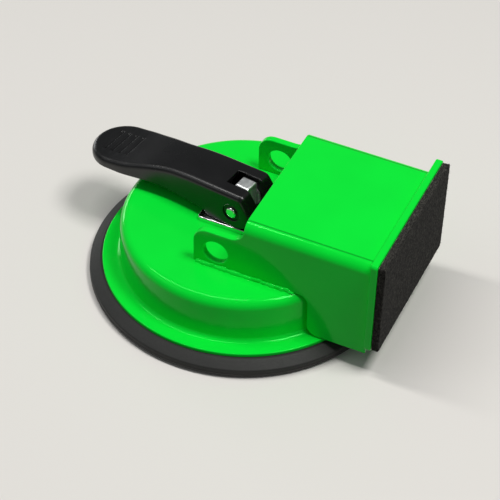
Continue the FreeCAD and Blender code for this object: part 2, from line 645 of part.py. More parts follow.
hollow_low = -size.cam_start - SPARE
hollow_back = V(-size.hollow_start, size.neck_rise - size.neck_skin + size.hollow_lift)
hollow_neck = V(-size.neck_reach, size.neck_rise - size.neck_skin)
neck_slope = (neck_top.y - paddle_top.y) / (neck_top.x - paddle_top.x)
hollow_front = V(-size.hollow_end, hollow_neck.y - neck_slope * (size.hollow_end - size.neck_reach))
hollow_bend = bend_radius(hollow_front, hollow_neck, hollow_back, size.hollow_bend_share)
hollow = outline([
    (hollow_back.x, hollow_low),
    (hollow_back.x, hollow_back.y, size.hollow_back_round),
    (hollow_neck.x, hollow_neck.y, hollow_bend),
    (hollow_front.x, hollow_front.y, size.hollow_front_round),
    (hollow_front.x, hollow_low)])
cut(lever, new_sketch(lever, "XZ_Plane", hollow), "neck_width - 2 * neck_wall", symmetric=True)

slot = new_sketch(lever, "XY_Plane")
rectangle(slot, "-slot_reach", back_x, "-half_slot", "half_slot")
cut(lever, slot, "4 * lever_rise", symmetric=True)
head_sweep = new_sketch(lever, "XZ_Plane")
circle(head_sweep, "head_radius")
cut(lever, head_sweep, "slot_width", symmetric=True)
bush_bore = new_sketch(lever, "XZ_Plane")
circle(bush_bore, "cheek_hole")
cut(lever, bush_bore, "2 * lever_width", symmetric=True)

# Grip grooves follow the hollow curve in front of the paddle.
_, bend_last, bend_centre, _ = corner_arc(neck_top, paddle_top, tip_top, paddle_bend)


def paddle_height(x):
    """Height of the lever's top at `x` on the paddle."""
    if x > bend_last.x:
        return bend_centre.y - math.sqrt(paddle_bend ** 2 - (x - bend_centre.x) ** 2)
    return tip_top.y + paddle_slope * (x - tip_top.x)


grip_first = size.grip_inset - size.paddle_reach
grip_pitch = (size.lever_reach - size.grip_margin + grip_first) / (size.grip_count - 1)
grooves = new_sketch(lever, "XZ_Plane")
for i in range(int(size.grip_count)):
    x = grip_first - i * grip_pitch
    circle(grooves, "grip_radius", x, "%f + grip_radius - grip_depth" % paddle_height(x))
cut(lever, grooves, "grip_length", symmetric=True)

# ---------------------------------------------------------------- pivot

pivot_pin = new_body("pivot_pin", turned=True, height="pin_level")
revolve(pivot_pin, new_sketch(pivot_pin, "XY_Plane", outline([
    (0, -size.half_pin),
    (size.pin_radius, -size.half_pin, size.pin_dome),
    (size.pin_radius, size.half_pin, size.pin_dome),
    (0, size.half_pin)])))

for label, shift, far in (("cheek_bush_near", "half_slot", False),
                          ("cheek_bush_far", "-half_slot", True)):
    cheek_bush = new_body(label, turned=True, height="pin_level")
    ring = new_sketch(cheek_bush, "XZ_Plane", shift=shift)
    circle(ring, "cheek_bush_radius")
    circle(ring, "pin_radius + pin_seat")
    extrude(cheek_bush, "Pad", ring, "half_lever - half_slot - cheek_bush_sunk", reverse=far)

spacers = []
spacer_width = size.half_slot - size.half_stem - 2 * size.spacer_gap
for side in (-1, 1):
    start = V(0, side * (size.half_stem + size.spacer_gap), 0)
    washer = Part.makeCylinder(size.spacer_radius, spacer_width, start, V(0, side, 0))
    hole = Part.makeCylinder(size.pin_hole, spacer_width, start, V(0, side, 0))
    spacers.append(washer.cut(hole))
spacer_washers = doc.addObject("Part::Feature", "spacer_washers")
spacer_washers.Label = "spacer_washers"
spacer_washers.Shape = Part.Compound(spacers)
spacer_washers.Placement = FreeCAD.Placement(
    V(0, 0, size.pin_level), FreeCAD.Rotation(UP, size.lever_turn))

# ---------------------------------------------------------------- box bracket

inner_bend = size.bracket_bend - size.bracket_sheet
bracket_channel = new_body("bracket_channel")
extrude(bracket_channel, "Pad", new_sketch(bracket_channel, "YZ_Plane", outline([
    (-size.half_bracket, size.skirt_level),
    (-size.half_bracket, size.bracket_top, size.bracket_bend),
    (size.half_bracket, size.bracket_top, size.bracket_bend),
    (size.half_bracket, size.skirt_level),
    (size.bracket_inner, size.skirt_level),
    (size.bracket_inner, size.bracket_roof, inner_bend),
    (-size.bracket_inner, size.bracket_roof, inner_bend),
    (-size.bracket_inner, size.skirt_level)]), "-ear_reach"), "bracket_end + ear_reach")
behind = -size.ear_reach - SPARE
above = size.bracket_top + SPARE
beyond = size.bracket_end + SPARE
cut(bracket_channel, new_sketch(bracket_channel, "XZ_Plane", outline([
    (behind, above),
    (behind, 0),
    (-size.ear_reach, 0),
    (-size.ear_reach, size.ear_top, size.ear_corner),
    (size.bracket_start, size.ear_top, size.ear_fillet),
    (size.bracket_start, above)])), "2 * bracket_width", symmetric=True)
cut(bracket_channel, new_sketch(bracket_channel, "XZ_Plane", outline([
    (behind, 0),
    (behind, size.hood_top),
    (size.notch_reach, size.hood_top, size.notch_round),
    (size.notch_reach, size.skirt_level, size.notch_flare),
    (beyond, size.skirt_level),
    (beyond, 0)])), "2 * bracket_width", symmetric=True)
ear_holes = new_sketch(bracket_channel, "XZ_Plane")
circle(ear_holes, "ear_hole_radius", "ear_hole_place", "hood_top + ear_hole_rise")
cut(bracket_channel, ear_holes, "2 * bracket_width", symmetric=True)

for side, label in ((-1, "ear_weld_near"), (1, "ear_weld_far")):
    weld = new_body(label)
    root = V(side * size.half_bracket, size.hood_top)
    foot = root + V(side * size.weld_leg, 0)
    top = root + V(0, size.weld_rise)
    crown = root + V(side * size.weld_leg, size.weld_rise) * size.weld_crown
    bead = [Part.Arc(foot, crown, top), Part.LineSegment(top, root),
            Part.LineSegment(root, foot)]
    extrude(weld, "Pad", new_sketch(weld, "YZ_Plane", bead, "weld_start"),
            "weld_end - weld_start")

# ---------------------------------------------------------------- strike plate and pad

weld_low = size.strike_low + size.plate_weld_foot
weld_inner = size.bracket_inner - size.plate_weld_leg
weld_roof = size.bracket_roof - size.plate_weld_leg
plate_weld = new_body("plate_weld")
extrude(plate_weld, "Pad", new_sketch(plate_weld, "YZ_Plane", outline([
    (-size.bracket_inner, weld_low),
    (-size.bracket_inner, size.bracket_roof, inner_bend),
    (size.bracket_inner, size.bracket_roof, inner_bend),
    (size.bracket_inner, weld_low),
    (weld_inner, weld_low),
    (weld_inner, weld_roof, size.plate_weld_round),
    (-weld_inner, weld_roof, size.plate_weld_round),
    (-weld_inner, weld_low)]), "bracket_end"), "plate_weld_leg", reverse=True)


def strike_layer(label, back, thickness, inset):
    """One flat layer of the strike end: plate, adhesive film or felt."""
    body = new_body(label)
    face = new_sketch(body, "YZ_Plane", shift=back)
    rectangle(face, "%s - half_strike" % inset, "half_strike - %s" % inset,
              "strike_low + %s" % inset, "strike_top - %s" % inset)
    extrude(body, "Pad", face, thickness)
    round_edges(body, "strike_corner - %s" % inset, lambda p, e: e.BoundBox.XLength > 1e-3)
    return body


strike_plate = strike_layer("strike_plate", "bracket_end", "strike_sheet", "0")
round_edges(strike_plate, "strike_edge", lambda p, e: e.BoundBox.XLength < 1e-3)
strike_layer("strike_adhesive", "glue_back", "glue_sheet", "(felt_inset + glue_inset)")
strike_layer("strike_felt", "felt_back", "felt_sheet", "felt_inset")

# ---------------------------------------------------------------- checks and export

doc.recompute()
for item in doc.Objects:
    assert "Invalid" not in item.State and "Error" not in item.State, item.Label
pieces = [item for item in doc.Objects
          if item.TypeId == "PartDesign::Body" or item.TypeId == "Part::Feature"
          and item.getParentGeoFeatureGroup() is None]
for piece in pieces:
    shape = piece.Shape
    assert not shape.isNull() and shape.isValid() and shape.Volume > 0, piece.Label
    shape.exportStep(os.path.join("parts", piece.Label + ".step"))
    print("%-20s %10.1f mm3  %d faces" % (piece.Label, shape.Volume, len(shape.Faces)))
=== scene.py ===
import logging
import math
from collections.abc import Mapping, Sequence
from dataclasses import dataclass
from enum import Enum
from functools import cache
from typing import Any

import bmesh
import bpy
from mathutils import Matrix, Vector, noise


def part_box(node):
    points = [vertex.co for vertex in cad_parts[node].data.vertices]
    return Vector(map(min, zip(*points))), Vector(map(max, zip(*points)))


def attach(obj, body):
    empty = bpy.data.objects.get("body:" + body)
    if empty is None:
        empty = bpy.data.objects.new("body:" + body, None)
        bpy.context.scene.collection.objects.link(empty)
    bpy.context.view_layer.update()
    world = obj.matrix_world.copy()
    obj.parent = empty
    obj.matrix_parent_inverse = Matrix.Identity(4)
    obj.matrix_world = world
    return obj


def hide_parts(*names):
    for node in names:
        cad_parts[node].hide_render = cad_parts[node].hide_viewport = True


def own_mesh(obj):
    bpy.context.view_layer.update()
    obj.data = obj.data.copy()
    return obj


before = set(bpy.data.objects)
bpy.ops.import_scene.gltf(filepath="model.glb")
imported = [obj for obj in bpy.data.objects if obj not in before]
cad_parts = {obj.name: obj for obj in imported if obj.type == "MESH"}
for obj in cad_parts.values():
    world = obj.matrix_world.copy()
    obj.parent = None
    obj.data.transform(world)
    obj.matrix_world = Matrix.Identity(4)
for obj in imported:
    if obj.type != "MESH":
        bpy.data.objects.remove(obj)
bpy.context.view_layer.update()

log = logging.getLogger("suction_lifter")

Colour = tuple[float, float, float]
Point = tuple[float, float]
Triple = tuple[float, float, float]
Socket = bpy.types.NodeSocket
Mesh = bpy.types.Mesh
Inputs = dict[str, Any]
MM = 0.001

# Middle range of a noise field, and the sockets of a colour mix that share their names.
NOISE_RANGE = (0.3, 0.7)
MIX_FIRST, MIX_SECOND, MIX_RESULT = 6, 7, 2

# Points this close are one, and a radius below TINY lies on the axis.
WELD_DISTANCE = 0.002 * MM
TINY = 1e-9
EDGE_SEGMENTS = 3


class Body(Enum):
    """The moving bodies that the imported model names."""

    BASE = "base"
    SWIVEL = "swivel"
    STEM = "stem_unit"
    LEVER = "lever_unit"


class Side(Enum):
    """The two ears, as the nodes' names have them."""

    NEAR = "near"
    FAR = "far"


# ---------------- node trees


class Graph:
    """Short hand for building one node tree.

    Args:
        tree: The shader or geometry tree that gets the nodes.
    """

    def __init__(self, tree: bpy.types.NodeTree) -> None:
        """Keeps the tree, emptied of the nodes that Blender starts it with."""
        self.tree = tree
        self.tree.nodes.clear()

    def node(
        self, kind: str, inputs: Mapping[Any, Any] | None = None, **settings: Any
    ) -> bpy.types.Node:
        """Adds one node.

        Args:
            kind: Blender's name for the node type.
            inputs: Input sockets by name or index, each a value or a socket to link.
            settings: Properties of the node itself.

        Returns:
            The new node.
        """
        made = self.tree.nodes.new(kind)
        for name, value in settings.items():
            setattr(made, name, value)
        for key, value in (inputs or {}).items():
            socket = made.inputs[key]
            if isinstance(value, Socket):
                self.tree.links.new(value, socket)
            else:
                socket.default_value = value
        return made

    def noise(self, place: Socket, grain: float, detail: float = 2.0) -> Socket:
        """A noise field.

        Args:
            place: Coordinates in metres.
            grain: Size of one grain in metres.
            detail: Octaves of finer noise.

        Returns:
            The field's value, about 0.3 to 0.7.
        """
        made = self.node(
            "ShaderNodeTexNoise", {"Vector": place, "Scale": 1 / grain, "Detail": detail}
        )
        return made.outputs["Fac"]

    def remap(
        self, value: Socket, low: float, high: float, span: Point = NOISE_RANGE
    ) -> Socket:
        """Stretches the part of a field inside `span` to run from `low` to `high`."""
        start, end = span
        made = self.node(
            "ShaderNodeMapRange",
            {"Value": value, "From Min": start, "From Max": end, "To Min": low, "To Max": high},
        )
        return made.outputs["Result"]

    def blend(self, share: Socket, first: Colour, second: Colour) -> Socket:
        """Mixes two colours by a field from 0 to 1."""
        return self.mixed(share, (*first, 1.0), (*second, 1.0))

    def mixed(self, share: Socket, first: Any, second: Any) -> Socket:
        """Mixes two colours with alpha, or sockets that carry them."""
        made = self.node(
            "ShaderNodeMix",
            {"Factor": share, MIX_FIRST: first, MIX_SECOND: second},
            data_type="RGBA",
        )
        return made.outputs[MIX_RESULT]

    def math(self, operation: str, first: Any, second: Any = 0.0) -> Socket:
        """One operation on two numbers, each a value or a socket."""
        made = self.node("ShaderNodeMath", {0: first, 1: second}, operation=operation)
        return made.outputs[0]

    def random_vector(self, low: Triple, high: Triple, seed: Socket) -> Socket:
        """A random vector between two corners for each point or instance."""
        made = self.node(
            "FunctionNodeRandomValue", {0: low, 1: high, "Seed": seed}, data_type="FLOAT_VECTOR"
        )
        return made.outputs[0]

    def bump(self, height: Socket, depth: float, under: Socket | None = None) -> Socket:
        """A bump of `depth` metres, laid over an earlier one where `under` is given."""
        inputs: Inputs = {"Height": height, "Strength": 1.0, "Distance": depth}
        if under is not None:
            inputs["Normal"] = under
        return self.node("ShaderNodeBump", inputs).outputs["Normal"]

    def stretched(self, place: Socket, scale: Triple) -> Socket:
        """Coordinates scaled along each axis, so that a grain becomes a streak."""
        made = self.node("ShaderNodeMapping", {"Vector": place, "Scale": scale})
        return made.outputs["Vector"]

    def seeded_noise(self, place: Socket, grain: float, seed: Socket) -> Socket:
        """A noise field that differs with `seed`, for geometry."""
        made = self.node(
            "ShaderNodeTexNoise",
            {"Vector": place, "W": seed, "Scale": 1 / grain, "Detail": 1.0},
            noise_dimensions="4D",
        )
        return made.outputs["Fac"]

    def finish_mesh(self, mesh: Socket, material: Socket) -> None:
        """Ends a geometry tree: real, smooth geometry with its material."""
        real = self.node("GeometryNodeRealizeInstances", {"Geometry": mesh})
        smooth = self.node("GeometryNodeSetShadeSmooth", {"Geometry": real.outputs["Geometry"]})
        coated = self.node(
            "GeometryNodeSetMaterial",
            {"Geometry": smooth.outputs["Geometry"], "Material": material},
        )
        self.node("NodeGroupOutput", {"Geometry": coated.outputs["Geometry"]})


# ---------------- finishes


@dataclass(frozen=True)
class Finish:
    """A plain finish; the kinds below add grain, colour change and bump.

    Args:
        name: Name of the material.
        slot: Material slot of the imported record.
        color: Linear base colour.
        roughness: Roughness at mid grain.
        metallic: 1 for bare metal.
        patch: Size of broad patches in metres.
        grain: Size of the fine grain in metres.
        depth: Depth of the fine grain in metres.
        shade: Brightness of the darkest patches.
        spread: Least and greatest change of roughness over the surface.
        specular: Specular level.
    """

    name: str
    slot: str
    color: Colour
    roughness: float = 0.5
    metallic: float = 0.0
    patch: float = 10 * MM
    grain: float = 0.3 * MM
    depth: float = 0.01 * MM
    shade: float = 0.9
    spread: Point = (-0.05, 0.05)
    specular: float = 0.5

    def tones(self, graph: Graph, share: Socket) -> Socket:
        """The colour, darker where `share` is low."""
        return graph.blend(share, darker(self.color, self.shade), self.color)

    def gloss(self, graph: Graph, value: Socket) -> Socket:
        """Roughness that follows a noise field."""
        low, high = self.spread
        return graph.remap(value, self.roughness + low, self.roughness + high)

    def fields(self, graph: Graph, place: Socket) -> Inputs:
        """Shader inputs that vary over the surface, by socket name."""
        return {}

    def shades(self) -> Inputs:
        """Shader inputs that are the same all over, by socket name."""
        return {"Specular IOR Level": self.specular}


@cache
def material_of(finish: Finish) -> bpy.types.Material:
    """Builds a finish's material once.

    Args:
        finish: The finish to build.

    Returns:
        The material, which every piece with that finish shares.
    """
    material = bpy.data.materials.new(finish.name)
    material.use_nodes = True
    material.diffuse_color = (*finish.color, 1.0)
    graph = Graph(material.node_tree)
    place = graph.node("ShaderNodeTexCoord").outputs["Object"]
    plain = {
        "Base Color": (*finish.color, 1.0),
        "Roughness": finish.roughness,
        "Metallic": finish.metallic,
    }
    shader = graph.node(
        "ShaderNodeBsdfPrincipled", {**plain, **finish.shades(), **finish.fields(graph, place)}
    )
    graph.node("ShaderNodeOutputMaterial", {"Surface": shader.outputs["BSDF"]})
    return material


def darker(color: Colour, share: float) -> Colour:
    """The colour at `share` of its brightness."""
    return brighter(color, (share, share, share))


def brighter(color: Colour, shares: Triple) -> Colour:
    """The colour with each of its channels scaled."""
    return (color[0] * shares[0], color[1] * shares[1], color[2] * shares[2])


@dataclass(frozen=True)
class PowderCoat(Finish):
    """Gloss powder coat with a fine orange peel and a clear top.

    Args:
        peel: Size of the orange peel in metres.
        peel_depth: Depth of the orange peel in metres.
        clear: Share of the clear top.
        clear_roughness: Roughness of the clear top.
        tint: Colour of the paint's own gloss.
    """

    patch: float = 26 * MM
    grain: float = 0.35 * MM
    depth: float = 0.002 * MM
    shade: float = 0.93
    spread: Point = (-0.04, 0.05)
    specular: float = 0.25
    peel: float = 1.7 * MM
    peel_depth: float = 0.012 * MM
    clear: float = 0.04
    clear_roughness: float = 0.04
    tint: Colour = (0.1, 1.0, 0.22)

    def shades(self) -> Inputs:
        """A clear coat that is glossier than the paint under it."""
        return {
            **super().shades(),
            "Coat Weight": self.clear,
            "Coat Roughness": self.clear_roughness,
            "Specular Tint": (*self.tint, 1.0),
        }

    def fields(self, graph: Graph, place: Socket) -> Inputs:
        """Broad colour change, uneven gloss and the orange peel."""
        cloud = graph.remap(graph.noise(place, self.patch), 0.0, 1.0)
        peel = graph.noise(place, self.peel, detail=1.0)
        speck = graph.noise(place, self.grain)
        return {
            "Base Color": self.tones(graph, cloud),
            "Roughness": self.gloss(graph, speck),
            "Normal": graph.bump(speck, self.depth, graph.bump(peel, self.peel_depth)),
        }


@dataclass(frozen=True)
class FoldedCoat(PowderCoat):
    """The same coat over sheet with a dented press mark beside each fold, whose colour is darkened
    as painted shade.

    Args:
        fold: Distance of the two press marks from the middle plane in metres.
        floor: Height above which the marks lie.
        mark: Half width of a mark.
        dent: Its depth.
        crease_shade: Brightness of the painted shade in the mark, as a share.
    """

    fold: float = 24.0 * MM
    floor: float = 40.0 * MM
    mark: float = 0.5 * MM
    dent: float = 0.07 * MM
    crease_shade: float = 0.4

    def fields(self, graph: Graph, place: Socket) -> Inputs:
        """The coat's own fields, with a dented line along each fold whose colour is darkened as
        painted shade.
        """
        plain = super().fields(graph, place)
        parts = graph.node("ShaderNodeSeparateXYZ", {"Vector": place})
        side = graph.math("ABSOLUTE", parts.outputs["Y"])
        off = graph.math("ABSOLUTE", graph.math("SUBTRACT", side, self.fold))
        line = graph.node(
            "ShaderNodeMapRange",
            {"Value": off, "From Max": self.mark, "To Min": 1.0, "To Max": 0.0},
            interpolation_type="SMOOTHSTEP",
        )
        above = graph.math("GREATER_THAN", parts.outputs["Z"], self.floor)
        share = graph.math("MULTIPLY", line.outputs["Result"], above)
        dented = graph.node(
            "ShaderNodeBump",
            {"Height": share, "Strength": 1.0, "Distance": self.dent, "Normal": plain["Normal"]},
            invert=True,
        )
        # Painted shade: the press mark's colour is darkened as though the crease lay in shade.
        dark = (*darker(self.color, self.crease_shade), 1.0)
        shaded = graph.mixed(share, plain["Base Color"], dark)
        return {**plain, "Base Color": shaded, "Normal": dented.outputs["Normal"]}


@dataclass(frozen=True)
class SatinCoat(Finish):
    """Satin coat over a cast or blackened part: fine pits, and gloss that differs in patches."""

    patch: float = 14 * MM
    grain: float = 0.28 * MM
    depth: float = 0.008 * MM
    shade: float = 0.8
    spread: Point = (-0.05, 0.06)

    def fields(self, graph: Graph, place: Socket) -> Inputs:
        """Fine pits, and broad patches that differ in gloss."""
        patch = graph.noise(place, self.patch, detail=3.0)
        pits = graph.noise(place, self.grain)
        return {
            "Base Color": self.tones(graph, graph.remap(patch, 0.0, 1.0)),
            "Roughness": self.gloss(graph, patch),
            "Normal": graph.bump(pits, self.depth),
        }


@dataclass(frozen=True)
class DrawnMetal(Finish):
    """Bare or plated metal with streaks along one axis.

    Args:
        streak: How far grains are drawn out along X, Y and Z, as scale factors.
        swing: Least and greatest roughness, as shares of the middle one.
    """

    patch: float = 5 * MM
    grain: float = 0.22 * MM
    depth: float = 0.004 * MM
    shade: float = 0.88
    streak: Triple = (0.06, 1.0, 1.0)
    swing: Point = (0.75, 1.3)

    def fields(self, graph: Graph, place: Socket) -> Inputs:
        """Streaks in gloss, tone and height."""
        drawn = graph.stretched(place, self.streak)
        fine = graph.noise(drawn, self.grain, detail=3.0)
        tone = graph.remap(graph.noise(place, self.patch), 0.0, 1.0)
        low, high = (self.roughness * share for share in self.swing)
        return {
            "Base Color": self.tones(graph, tone),
            "Roughness": graph.remap(fine, low, high),
            "Normal": graph.bump(fine, self.depth),
        }


@dataclass(frozen=True)
class ZincPlate(Finish):
    """Dull zinc plate with a faint crystal pattern.

    Args:
        swing: Least and greatest roughness, as shares of the middle one.
    """

    patch: float = 1.4 * MM
    shade: float = 0.85
    swing: Point = (0.8, 1.3)

    def fields(self, graph: Graph, place: Socket) -> Inputs:
        """Crystals that differ in tone and gloss."""
        crystal = graph.node("ShaderNodeTexVoronoi", {"Vector": place, "Scale": 1 / self.patch})
        tone = graph.node("ShaderNodeSeparateColor", {"Color": crystal.outputs["Color"]})
        share = tone.outputs["Red"]
        low, high = (self.roughness * share for share in self.swing)
        rough = graph.remap(share, low, high, span=(0.0, 1.0))
        return {"Base Color": self.tones(graph, share), "Roughness": rough}


@dataclass(frozen=True)
class SoftFinish(Finish):
    """A matte finish with a sheen at grazing angles.

    Args:
        sheen: Weight of the sheen.
        sheen_roughness: Roughness of the sheen.
    """

    sheen: float = 0.05
    sheen_roughness: float = 0.5

    def shades(self) -> Inputs:
        """The gloss and the sheen."""
        return {
            **super().shades(),
            "Sheen Weight": self.sheen,
            "Sheen Roughness": self.sheen_roughness,
        }


@dataclass(frozen=True)
class MouldedRubber(SoftFinish):
    """Matte moulded rubber with a fine bloom of dust.

    Args:
        dust: How much brighter the bloom is in red, green and blue.
    """

    patch: float = 9 * MM
    grain: float = 0.4 * MM
    depth: float = 0.03 * MM
    spread: Point = (-0.08, 0.08)
    specular: float = 0.35
    dust: Triple = (1.35, 1.35, 1.32)

    def fields(self, graph: Graph, place: Socket) -> Inputs:
        """Bloom in broad patches, over a fine moulded grain."""
        bloom = graph.remap(graph.noise(place, self.patch, detail=4.0), 0.0, 1.0)
        grain = graph.noise(place, self.grain, detail=3.0)
        return {
            "Base Color": graph.blend(bloom, self.color, brighter(self.color, self.dust)),
            "Roughness": self.gloss(graph, grain),
            "Normal": graph.bump(grain, self.depth),
        }


@dataclass(frozen=True)
class NeedledFelt(SoftFinish):
    """Needled felt: matted fibres with lighter ones among them.

    Args:
        clump: Size of a matted clump in metres.
        clump_depth: Depth of the clumps in metres.
        drawn: How far fibres are drawn out, as a scale factor.
        pale: How much brighter a light fibre is in red, green and blue.
        pale_range: Fibre field's values at no light fibre and at only light ones.
        dull: Least and greatest roughness.
    """

    grain: float = 0.3 * MM
    depth: float = 0.16 * MM
    specular: float = 0.08
    clump: float = 1.3 * MM
    clump_depth: float = 0.3 * MM
    drawn: float = 0.22
    pale: Triple = (6.5, 6.2, 5.8)
    pale_range: Point = (-1.3, 1.1)
    dull: Point = (0.92, 1.0)
    sheen: float = 0.03
    sheen_roughness: float = 0.6

    def fields(self, graph: Graph, place: Socket) -> Inputs:
        """Fibres that lie in two directions, and matted clumps."""
        along, across = (
            graph.noise(graph.stretched(place, scale), self.grain, detail=3.0)
            for scale in ((1.0, self.drawn, 1.0), (1.0, 1.0, self.drawn))
        )
        clump = graph.noise(place, self.clump, detail=4.0)
        fibres = graph.math("MAXIMUM", along, across)
        light = graph.remap(fibres, *self.pale_range)
        return {
            "Base Color": graph.blend(light, self.color, brighter(self.color, self.pale)),
            "Roughness": graph.remap(clump, *self.dull),
            "Normal": graph.bump(fibres, self.depth, graph.bump(clump, self.clump_depth)),
        }


GREEN = PowderCoat("green powder coat", "green_paint", (0.003, 0.76, 0.04), 0.13)
BLACK = SatinCoat("satin black coat", "black_paint", (0.0022, 0.0022, 0.0025), 0.3)
BLACK_STEEL = SatinCoat("blackened steel", "black_steel", (0.022, 0.022, 0.024), 0.32, 0.6)
CHROME = DrawnMetal(
    "chrome plate",
    "chrome",
    (0.8, 0.81, 0.82),
    0.1,
    1.0,
    depth=0.0004 * MM,
    streak=(0.1, 1.0, 1.0),
)
BRIGHT = DrawnMetal(
    "bright stem steel", "bright_steel", (0.82, 0.84, 0.84), 0.42, 1.0, streak=(1.0, 0.12, 0.12)
)
WIRE = DrawnMetal("spring wire", "spring_steel", (0.42, 0.42, 0.44), 0.3, 1.0)
ZINC = ZincPlate("zinc plate", "steel", (0.56, 0.57, 0.58), 0.36, 1.0)
RUBBER = MouldedRubber("moulded rubber", "rubber", (0.0125, 0.0125, 0.012), 0.6)
FELT = NeedledFelt("needled felt", "felt", (0.012, 0.012, 0.0112), 0.96)
GLUE = SatinCoat("adhesive film", "glue", (0.5, 0.48, 0.42), 0.6)


# ---------------- mesh tools


def placed(name: str, data: bpy.types.ID) -> bpy.types.Object:
    """Puts an object with the given data into the scene."""
    made = bpy.data.objects.new(name, data)
    bpy.context.scene.collection.objects.link(made)
    return made


def new_object(name: str, mesh: Mesh, finish: Finish, body: Body) -> bpy.types.Object:
    """Puts a mesh into the scene as a piece of the model.

    Args:
        name: Name of the piece.
        mesh: Its mesh, in metres in the frame's own coordinates.
        finish: Its finish.
        body: The moving body that carries it.

    Returns:
        The new object.
    """
    made = placed(name, mesh)
    mesh.materials.clear()
    mesh.materials.append(material_of(finish))
    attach(made, body.value)
    log.info("%s: %d faces on %s, %s", name, len(mesh.polygons), body.value, finish.name)
    return made


def dress(node: str, finish: Finish) -> None:
    """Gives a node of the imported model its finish."""
    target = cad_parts[node]
    if not target.material_slots:
        target.data.materials.append(None)
    for entry in target.material_slots:
        entry.material = material_of(finish)
    log.info("%s: %s", node, finish.name)


def mesh_from(name: str, work: bmesh.types.BMesh, smooth: float = 35.0) -> Mesh:
    """Turns a bmesh into a mesh that is smooth but for its sharp edges.

    Args:
        name: Name of the mesh.
        work: The bmesh, which is freed.
        smooth: Edges that turn by more than this many degrees stay sharp.

    Returns:
        The finished mesh.
    """
    mesh = bpy.data.meshes.new(name)
    work.to_mesh(mesh)
    work.free()
    mesh.shade_smooth()
    mesh.set_sharp_from_angle(angle=math.radians(smooth))
    return mesh


def applied(target: bpy.types.Object, name: str) -> Mesh:
    """The mesh that an object has after its modifiers, as a mesh of its own."""
    view = bpy.context.evaluated_depsgraph_get()
    mesh = bpy.data.meshes.new_from_object(target.evaluated_get(view), depsgraph=view)
    mesh.name = name
    return mesh


def grown(name: str, base: Mesh, tree: bpy.types.NodeTree, values: Mapping[str, Any]) -> Mesh:
    """Runs a geometry tree over a mesh, through a modifier that goes again.

    Args:
        name: Name of the mesh that comes out.
        base: The mesh that goes in, which stays.
        tree: The tree, whose inputs are named.
        values: Value of each named input.

    Returns:
        The finished mesh.
    """
    carrier = placed(name + "_carrier", base)
    modifier = carrier.modifiers.new("nodes", "NODES")
    modifier.node_group = tree
    for item in tree.interface.items_tree:
        if item.item_type == "SOCKET" and item.in_out == "INPUT" and item.name in values:
            modifier[item.identifier] = values[item.name]
    mesh = applied(carrier, name)
    bpy.data.objects.remove(carrier)
    return mesh


def merged(node: str, flat: float = 0.0) -> Mesh:
    """A copy of a node's mesh with its loose triangles joined.

    Args:
        node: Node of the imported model.
        flat: Faces that meet within this many degrees become one.

    Returns:
        The copy.
    """
    work = bmesh.new()
    work.from_mesh(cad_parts[node].data)
    bmesh.ops.remove_doubles(work, verts=work.verts, dist=WELD_DISTANCE)
    if flat:
        limit = math.radians(flat)
        bmesh.ops.dissolve_limit(work, angle_limit=limit, verts=work.verts, edges=work.edges)
    return mesh_from(node + "_copy", work)


def softened(node: str, width: float, angle: float = 32.0, flat: float = 0.4) -> Mesh:
    """A copy of a node's mesh whose sharp edges are rounded.

    Args:
        node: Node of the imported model.
        width: Width of the rounded edge in metres.
        angle: Edges that turn by more than this many degrees are rounded.
        flat: Faces that meet within this many degrees become one first.

    Returns:
        The copy.
    """
    mesh = merged(node, flat)
    carrier = placed(node + "_carrier", mesh)
    bevel = carrier.modifiers.new("edges", "BEVEL")
    bevel.width = width
    bevel.segments = EDGE_SEGMENTS
    bevel.angle_limit = math.radians(angle)
    bevel.harden_normals = True
    bevel.use_clamp_overlap = False
    result = applied(carrier, node + "_edges")
    low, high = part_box(node)
    for vert in result.vertices:
        vert.co = [max(low[k], min(high[k], vert.co[k])) for k in range(3)]
    bpy.data.objects.remove(carrier)
    bpy.data.meshes.remove(mesh)
    return result


def rounded(corners: Sequence[Triple], steps: int = 5) -> list[Point]:
    """Rounds the corners of an open profile.

    Args:
        corners: Points as (radius, height, corner radius).
        steps: Segments in each rounded corner.

    Returns:
        The profile's points in order.
    """
    points: list[Point] = []
    for i, (x, y, radius) in enumerate(corners):
        if not radius or i in (0, len(corners) - 1):
            points.append((x, y))
            continue
        here = Vector((x, y))
        back = (Vector(corners[i - 1][:2]) - here).normalized()
        ahead = (Vector(corners[i + 1][:2]) - here).normalized()
        reach = radius / math.tan(back.angle(ahead) / 2)
        start, end = here + back * reach, here + ahead * reach
        for step in range(steps + 1):
            share = step / steps
            bent = start.lerp(here, share).lerp(here.lerp(end, share), share)
            points.append((bent.x, bent.y))
    return points


def lathe(profile: Sequence[Point], steps: int) -> bmesh.types.BMesh:
    """Turns a profile round Z into a closed form.

    Args:
        profile: Points as (radius, height); the first and last lie on the axis.
        steps: Segments in one turn.

    Returns:
        The form, with its faces pointing outwards.
    """
    work = bmesh.new()
    rings = []
    for radius, height in profile:
        if radius < TINY:
            rings.append([work.verts.new((0.0, 0.0, height))])
            continue
        turns = [math.tau * i / steps for i in range(steps)]
        rings.append(
            [work.verts.new((radius * math.cos(t), radius * math.sin(t), height)) for t in turns]
        )
    for low, high in zip(rings, rings[1:]):
        for i in range(steps):
            j = (i + 1) % steps
            corners = [(low, i), (low, j), (high, j), (high, i)]
            unique = list(dict.fromkeys(ring[k % len(ring)] for ring, k in corners))
            if len(unique) > 2:
                work.faces.new(unique)
    bmesh.ops.recalc_face_normals(work, faces=work.faces)
    return work


# ---------------- sub-assemblies


